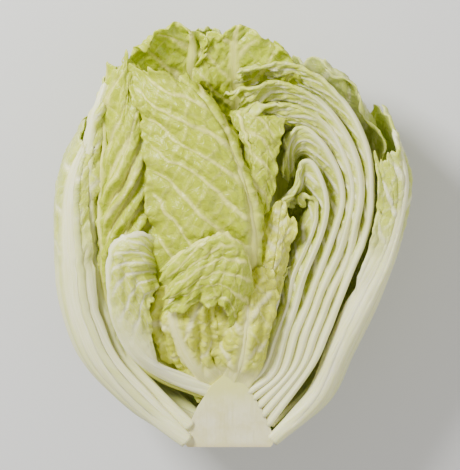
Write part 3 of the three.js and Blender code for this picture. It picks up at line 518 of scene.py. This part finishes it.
def ragged_outline(spec, wrinkles, u, v):
    """The places along and across, moved so that the margins and the tip run in and out a little."""
    ragged, noise = spec["ragged"], wrinkles.noise
    side = np.sign(v - 0.5) * 9
    nicks = (1.8 + 1.2 * noise(u * 11, side + 50) + noise(u * 38, side + 10)
             + 0.25 * noise(u * 90, side + 30))
    v_cut = 0.5 + (v - 0.5) * (1 - ragged * smooth(*RAGS_BEGIN, u) * nicks)
    if spec["straight_near"]:
        v_cut = v
    # The nicks of the tip are as long on a broad leaf as on a narrow one.
    broad = np.linalg.norm(np.subtract(spec["guides"][-1][-1], spec["guides"][0][-1])) / 60
    tip_nicks = 1 + noise(v * 14 * broad, u * 0 + 60) + 0.5 * noise(v * 33 * broad, u * 0 + 70)
    return u * (1 - ragged * 0.8 * tip_nicks), v_cut


def measured(point, spec):
    """Distances along the leaf from its root, across it from its rib, and to its nearest edge."""
    rows, columns = point.shape[:2]
    run_u = np.linalg.norm(np.diff(point, axis=0), axis=2)
    run_v = np.linalg.norm(np.diff(point, axis=1), axis=2)
    along = np.concatenate([np.zeros((1, columns)), np.cumsum(run_u, axis=0)])
    across = np.concatenate([np.zeros((rows, 1)), np.cumsum(run_v, axis=1)], axis=1)
    margin = np.minimum(np.minimum(across, across[:, -1:] - across), along[-1:, :] - along)
    rib_column = int(round((columns - 1) * spec["rib"]["at"] ** (1 / spec["crowding"])))
    return along, across - across[:, rib_column:rib_column + 1], margin


def thicken(piece, thick):
    """Gives the sheet its thickness, thick at each of its vertices, as applied geometry."""
    group = piece.vertex_groups.new(name="thickness")
    thickest = float(thick.max())
    share = np.round(thick / thickest, 3)
    for value in np.unique(share):
        group.add(np.nonzero(share == value)[0].tolist(), float(value), "REPLACE")
    solid = piece.modifiers.new("thickness", "SOLIDIFY")
    solid.thickness = thickest * MM
    solid.offset = 0
    solid.vertex_group = "thickness"
    solid.use_even_offset = False
    bpy.ops.object.modifier_apply(modifier=solid.name)
    bpy.ops.object.mode_set(mode="EDIT")
    bpy.ops.mesh.select_all(action="SELECT")
    bpy.ops.mesh.normals_make_consistent(inside=False)
    bpy.ops.object.mode_set(mode="OBJECT")
    bpy.ops.object.shade_smooth()


def make_leaf(spec, seed):
    """One leaf: a flat grid laid over the leaf's guides, wrinkled, and thickened up to rounded margins."""
    bpy.ops.object.select_all(action="DESELECT")
    rows, columns = spec["cells"]
    bpy.ops.mesh.primitive_grid_add(x_subdivisions=rows, y_subdivisions=columns, size=1)
    piece = bpy.context.object
    piece.name = spec["name"] + "_fine"
    mesh = piece.data
    flat = np.empty(len(mesh.vertices) * 3)
    mesh.vertices.foreach_get("co", flat)
    flat = flat.reshape(-1, 3)

    # The grid's vertices in rows from root to tip, and each vertex's place in those rows.
    order = np.lexsort((flat[:, 1], flat[:, 0]))
    row_place = np.empty(len(order), int)
    row_place[order] = np.arange(len(order))
    shape = (len(np.unique(flat[:, 0].round(6))), len(np.unique(flat[:, 1].round(6))))
    u = (flat[order, 0] + 0.5).reshape(shape)
    v = (flat[order, 1] + 0.5).reshape(shape) ** spec["crowding"]

    wrinkles = Wrinkles(seed)
    u_cut, v_cut = ragged_outline(spec, wrinkles, u, v)
    point = leaf_surface(spec["guides"], u_cut.ravel(), v_cut.ravel()).reshape(shape + (3,))
    normal = np.cross(np.gradient(point, axis=0), np.gradient(point, axis=1))
    normal /= np.linalg.norm(normal, axis=2, keepdims=True) + 1e-9
    along, across, margin = measured(point, spec)
    off, whiteness, vein_and_crest_highlight, groove = leaf_relief(spec, wrinkles, u, v, along, across, margin)
    point = point + normal * off[..., None]
    thick = leaf_thickness(spec, u, v, margin)
    point[..., 2] = np.maximum(point[..., 2], FLAT_SPOT_Z + thick / 2)
    place = np.empty_like(flat)
    place[order] = point.reshape(-1, 3) * MM + HEAD_ORIGIN
    mesh.vertices.foreach_set("co", place.ravel())
    mesh.update()

    # What the materials read: each value at each vertex, and the flat coordinates at each corner.
    # Painted shade: the lower a place lies below the cut plane, and the more it lies in a groove, the darker
    # and duller the material paints it.
    deep_shade = np.clip(-point[..., 2] / DEEP, 0, 1) * spec["sunk"]
    painted = dict(whiteness=whiteness, vein_and_crest_highlight=vein_and_crest_highlight, margin=np.exp(-margin / MARGIN_REACH),
                   deep_shade=np.maximum(deep_shade, 0.9 * groove))
    for title, values in painted.items():
        attribute = mesh.attributes.new(title, "FLOAT", "POINT")
        attribute.data.foreach_set("value", values.ravel()[row_place].astype(np.float32))
    corner_vertex = np.empty(len(mesh.loops), int)
    mesh.loops.foreach_get("vertex_index", corner_vertex)
    mesh.uv_layers[0].name = "leaf"
    run = np.stack([along.ravel()[row_place], across.ravel()[row_place]], axis=1) * MM * UV_PER_METRE
    mesh.uv_layers[0].data.foreach_set("uv", run[corner_vertex].ravel())

    thicken(piece, thick.ravel()[row_place])
    return piece


LEAVES = [
    leaf("centre_leaf", CENTRE_LEAF, "blade", rib(0.33, 0.09, 5, 4, 2), ruffle(2.2, 6, near=0), (220, 96)),
    leaf("folded_leaf", FOLDED_LEAF, "blade", rib(0.03, 0.1, 4.5, 3, 1.6), ruffle(1.6, 7, near=0),
         (190, 70), pleats=pleats(0.22, 9, 1, 0.35, 0.5), pucker=5.5, crinkle=0.35, ragged=0.05,
         rib_end=0.6, vein_spacing=18, vein_height=0.4),
    leaf("lower_heart_leaf_right", LOWER_HEART_RIGHT, "heart", rib(0.6, 0.12, 4, 2, 1), ruffle(1, 4),
         (130, 70), pleats=pleats(0.8, 10, 0.15, 1, 0.15), ragged=0.04, green_from=0.05, green_to=0.3),
    leaf("lower_heart_leaf_left", LOWER_HEART_LEFT, "heart", rib(0.4, 0.12, 4, 2, 1), ruffle(1, 4),
         (130, 70), pleats=pleats(0.8, 9, -0.25, 1, 0.15), ragged=0.04, green_from=0.05, green_to=0.3),
    leaf("hood_leaf", HOOD_LEAF, "blade", rib(0.85, 0.04, 3, 1.6, 0.8), ruffle(1.2, 9), (260, 70),
         pucker=2.0, ragged=0.06, crinkle=0.7, vein_spacing=16, frill=0.6),
    leaf("heart_tip", HEART_TIP, "heart", rib(0.5, 0.05, 2.4, 1.4, 1), ruffle(1, 4), (120, 50),
         pucker=2.2, ragged=0.06, green_from=0.0, green_to=0.15, vein_spacing=15),
    leaf("inner_left_leaf", INNER_LEFT_LEAF, "rib", rib(0.04, 0.14, 5, 3, 1.6),
         ruffle(1.2, 6, near=0, tip=0), (170, 70), pleats=pleats(0.5, 12, 0.1, 1, 0.35), crinkle=0.3,
         pucker=4, ragged=0.04, rib_end=0.5, green_from=0.05, green_to=0.66, vein_spacing=16,
         vein_height=0.5),
    leaf("draped_leaf", DRAPED_LEAF, "blade", rib(0.06, 0.06, 4, 2, 1), ruffle(1, 7, near=0.6, far=0.3),
         (220, 80), pleats=pleats(1.9, 13, 0.74, -0.67, 0.36, 0.76), green_from=0.1, green_to=0.34,
         crinkle=0.8, pale_ridges=1.0),
    leaf("left_leaf", LEFT_LEAF, "rib", rib(0.6, 0.35, 6, 3, 1.4), ruffle(1.5, 7, far=0.8), (150, 80)),
    leaf("outer_left_leaf", OUTER_LEFT_LEAF, "rib", rib(0.7, 0.3, 6, 4.5, 2.2), ruffle(1.2, 6, far=0.5),
         (140, 90), crinkle=0.5, green_from=0.35, green_to=0.95,
         grooves=((0.78, 0.02, 1.8), (0.56, 0.03, 1))),
    leaf("back_leaf", BACK_LEAF, "rib", rib(0.5, 0.22, 7, 5, 1.8), ruffle(2, 6), (120, 84)),
    leaf("back_right_leaf", BACK_RIGHT_LEAF, "rib", rib(0.55, 0.3, 6, 4, 1.6), ruffle(2, 6), (110, 60)),
    leaf("loose_leaf", LOOSE_LEAF, "rib", rib(0.6, 0.3, 6, 4.5, 2.4), ruffle(1.4, 6), (140, 96),
         crinkle=0.5, green_from=0.4, green_to=1.0, grooves=((0.72, 0.025, 1.8), (0.5, 0.03, 1))),
    leaf("top_left_tip", TOP_LEFT_TIP, "blade", rib(0.75, 0.15, 5, 2.6, 1.4), ruffle(2.6, 7, far=0.8),
         (160, 64), sunk=0.2),
    leaf("top_right_tip", TOP_RIGHT_TIP, "blade", rib(0.4, 0.15, 5, 2.6, 1.4), ruffle(2.6, 8),
         (160, 64), sunk=0.2),
]
for number, arch in enumerate(ARCHED_LEAVES, 1):
    LEAVES.append(leaf(
        f"arched_leaf_{number}", arch_guides(arch), "rib", rib(0, 0.15, 4.8, 4.2, 1.4),
        ruffle(1, 5, near=0, far=0.6, tip=0.5), (10 * len(arch["crest"]), 44), crowding=1.5,
        straight_near=True, crinkle=0.4, frill=0.4, green_from=0.0, green_to=0.3, rib_end=0.75,
        rib_fade=0.9, pale_width=1.6, sway=2.4, wild=4, vein_spacing=15, ragged=0.055))


class Wire:
    """A socket of a material's node tree, on which expressions add their nodes."""

    def __init__(self, tree, socket):
        self.tree = tree
        self.socket = socket

    def node(self, kind, settings=(), outlet=0, **inputs):
        """Adds a node. Its inputs are given by name, or as i and their number."""
        node = self.tree.nodes.new(kind)
        for key, value in dict(settings).items():
            setattr(node, key, value)
        for key, value in inputs.items():
            index = int(key[1:]) if key[0] == "i" and key[1:].isdigit() else key.replace("_", " ")
            self.plug(node.inputs[index], value)
        return Wire(self.tree, node.outputs[outlet])

    def plug(self, inlet, value):
        """Links a Wire to the inlet, or sets the inlet to a plain value."""
        if isinstance(value, Wire):
            self.tree.links.new(value.socket, inlet)
        else:
            inlet.default_value = value

    def maths(self, operation, *values):
        inputs = {f"i{n}": value for n, value in enumerate(values)}
        return self.node("ShaderNodeMath", {"operation": operation}, **inputs)

    def __add__(self, other):
        return self.maths("ADD", self, other)

    def __mul__(self, other):
        return self.maths("MULTIPLY", self, other)

    def __sub__(self, other):
        return self.maths("SUBTRACT", self, other)

    def __rsub__(self, other):
        return self.maths("SUBTRACT", other, self)

    __radd__ = __add__
    __rmul__ = __mul__

    def between(self, low_end, high_end):
        """0 below low_end, 1 above high_end."""
        return self.node("ShaderNodeMapRange", {"interpolation_type": "SMOOTHSTEP"},
                         Value=self, From_Min=low_end, From_Max=high_end)

    def colours(self, first, second):
        """The first colour where this is 0 and the second where it is 1. The node mixes other kinds of
        values too, and these inputs and this outlet are the ones for colours."""
        return self.node("ShaderNodeMix", {"data_type": "RGBA"}, outlet=2, i0=self, i6=first, i7=second)


def srgb(red, green, blue):
    """A colour given as it looks on a screen, from 0 to 255."""
    return tuple(((c / 255 + 0.055) / 1.055) ** 2.4 for c in (red, green, blue)) + (1.0,)


def new_material(name):
    """A new material, its shader, and a Wire that adds nodes to it."""
    material = bpy.data.materials.new(name)
    material.use_nodes = True
    shader = material.node_tree.nodes["Principled BSDF"]
    return material, shader, Wire(material.node_tree, None)


def leaf_material(name, blade, blotch_and_shade_colour, rib_colour):
    """Pale blade, whiter veins and petiole, blotches of a duller green, and painted shade: that duller green
    and a less white petiole where the leaf goes down among the others or into a groove.
    """
    material, shader, add = new_material(name)
    whiteness, vein_and_crest_highlight, deep_shade, margin = (
        add.node("ShaderNodeAttribute", {"attribute_name": title}, outlet="Fac")
        for title in ("whiteness", "vein_and_crest_highlight", "deep_shade", "margin"))
    place = add.node("ShaderNodeTexCoord", outlet="Object")
    run = add.node("ShaderNodeUVMap", {"uv_map": "leaf"})
    blotch = add.node("ShaderNodeTexNoise", Vector=place, Scale=42.0, Detail=4.0, Roughness=0.6)
    speck = add.node("ShaderNodeTexNoise", Vector=place, Scale=420.0, Detail=3.0, Roughness=0.6)
    stretched = add.node("ShaderNodeMapping", Vector=run, Scale=(0.35, 9.0, 1.0))
    streak = add.node("ShaderNodeTexNoise", Vector=stretched, Scale=12.0, Detail=4.0, Roughness=0.6)
    net = add.node("ShaderNodeTexVoronoi", {"feature": "DISTANCE_TO_EDGE"}, Vector=run, Scale=26.0)
    net_line = 1 - net.between(0.0, 0.1)
    creases = add.node("ShaderNodeTexNoise", Vector=place, Scale=170.0, Detail=6.0, Roughness=0.7)

    leafy = 1 - whiteness.between(0.2, 0.95)
    # Random blotches, and painted shade where the leaf lies deep or in a groove, turn the blade colour
    # towards the second, duller colour.
    colour = (blotch * 0.7 + deep_shade * 0.8 - 0.15).between(0.0, 1.0).colours(blade, blotch_and_shade_colour)
    # Veins and the net between blisters are paler, and so is the painted highlight on the crests of folds.
    pale = (vein_and_crest_highlight * 0.75 + net_line * 0.12 + margin * 0.15).between(0.0, 1.0)
    colour = (pale * leafy).colours(colour, rib_colour)
    # Painted shade: the white petiole and rib lose some whiteness where the leaf lies deep.
    white = (1 - leafy) * (1 - deep_shade * 0.5)
    colour = white.colours(colour, rib_colour)
    shade = streak.between(0.35, 0.7) * (1 - leafy) * 0.35
    colour = shade.colours(colour, blade)
    add.plug(shader.inputs["Base Color"], colour)
    add.plug(shader.inputs["Roughness"], 0.2 + speck * 0.24)
    height = streak * (1 - leafy) * 0.5 + (speck * 0.3 + net_line * 0.4 + creases * 1.6) * leafy
    bump = add.node("ShaderNodeBump", Strength=0.5, Distance=0.0008, Height=height)
    add.plug(shader.inputs["Normal"], bump)
    shader.inputs["Subsurface Weight"].default_value = 0.35
    shader.inputs["Subsurface Radius"].default_value = (0.5, 0.6, 0.15)
    shader.inputs["Subsurface Scale"].default_value = 0.006
    shader.inputs["Specular IOR Level"].default_value = 0.5
    return material


# The second colour of each material is that of its blotches and of its painted shade.
MATERIALS = {
    "blade": leaf_material("leaf_blade", srgb(180, 193, 10), srgb(170, 182, 46), srgb(237, 236, 130)),
    "heart": leaf_material("heart_blade", srgb(210, 215, 50), srgb(194, 198, 66), srgb(247, 243, 166)),
    "rib": leaf_material("ribbed_leaf", srgb(200, 210, 58), srgb(190, 199, 94), srgb(250, 247, 200)),
}


def stump_material():
    """Cream with darker fibres along the stump, greener where the leaves begin and brown at its cut foot."""
    material, shader, add = new_material("cut_stump")
    place = add.node("ShaderNodeTexCoord", outlet="Object")
    blotch = add.node("ShaderNodeTexNoise", Vector=place, Scale=90.0, Detail=5.0, Roughness=0.6)
    stretched = add.node("ShaderNodeMapping", Vector=place, Scale=(9.0, 1.0, 9.0))
    fibre = add.node("ShaderNodeTexNoise", Vector=stretched, Scale=70.0, Detail=4.0)
    colour = blotch.between(0.35, 0.7).colours(srgb(240, 235, 192), srgb(226, 219, 158))
    colour = (fibre.between(0.5, 0.75) * 0.4).colours(colour, srgb(214, 208, 138))
    along = add.node("ShaderNodeSeparateXYZ", outlet="Y", Vector=place) + blotch * 0.006
    foot = float(HEAD_ORIGIN[1])
    colour = along.between(foot + 0.02, foot + 0.05).colours(colour, srgb(228, 228, 132))
    colour = along.between(foot + 0.001, foot + 0.007).colours(srgb(214, 196, 146), colour)
    add.plug(shader.inputs["Base Color"], colour)
    add.plug(shader.inputs["Roughness"], 0.5 + blotch * 0.2)
    bump = add.node("ShaderNodeBump", Strength=0.4, Distance=0.0006, Height=fibre + blotch)
    add.plug(shader.inputs["Normal"], bump)
    shader.inputs["Subsurface Weight"].default_value = 0.25
    shader.inputs["Subsurface Radius"].default_value = (0.5, 0.5, 0.2)
    shader.inputs["Subsurface Scale"].default_value = 0.005
    return material


def dress(piece, material, node):
    """The piece takes the place of a node of the head, with the given material, under the root body."""
    piece.data.materials.clear()
    piece.data.materials.append(material)
    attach(piece, "root")
    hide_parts(node)


for number, spec in enumerate(LEAVES):
    dress(make_leaf(spec, FIRST_SEED + number), MATERIALS[spec["slot"]], spec["name"])

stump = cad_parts["stump"]
stump.data.materials.clear()
stump.data.materials.append(stump_material())


def studio():
    """The pale floor, the soft lights and the camera that looks down on the head."""
    bpy.ops.object.select_all(action="DESELECT")
    bpy.ops.mesh.primitive_plane_add(size=6, location=(0, 0, 0))
    floor = bpy.context.object
    floor.name = "floor"
    material, shader, _ = new_material("pale_floor")
    shader.inputs["Base Color"].default_value = (0.72, 0.72, 0.71, 1)
    shader.inputs["Roughness"].default_value = 0.8
    floor.data.materials.append(material)

    world = bpy.data.worlds.new("studio")
    bpy.context.scene.world = world
    world.use_nodes = True
    background = world.node_tree.nodes["Background"]
    background.inputs["Color"].default_value = (0.96, 0.94, 0.9, 1)
    background.inputs["Strength"].default_value = 0.58

    lit = Vector((0, 0, 0.05))

    def softbox(name, place, size, power):
        bpy.ops.object.light_add(type="AREA", location=place)
        light = bpy.context.object
        light.name = name
        light.data.size = size
        light.data.energy = power
        light.rotation_euler = (lit - Vector(place)).to_track_quat("-Z", "Y").to_euler()

    softbox("key_light", (-0.6, 0.7, 0.75), 0.3, 25)
    softbox("fill_light", (0.9, -0.2, 0.8), 0.9, 4)

    # The camera looks down, tilted towards the leaf tips, and view_height is what it sees at its target.
    tilt = math.radians(16)
    target = Vector((0, -0.004, 0.06))
    distance = 1.3
    view_height = 0.285
    sensor = 24
    bpy.ops.object.camera_add(location=target + Vector((0, math.sin(tilt), math.cos(tilt))) * distance)
    camera = bpy.context.object
    camera.name = "camera"
    back = (camera.location - target).normalized()
    right = Vector((1, 0, 0))
    up = back.cross(right)
    camera.matrix_world = Matrix((
        (right.x, up.x, back.x, camera.location.x),
        (right.y, up.y, back.y, camera.location.y),
        (right.z, up.z, back.z, camera.location.z),
        (0, 0, 0, 1)))
    camera.data.sensor_fit = "VERTICAL"
    camera.data.sensor_height = sensor
    camera.data.lens = sensor * distance / view_height
    bpy.context.scene.camera = camera


studio()
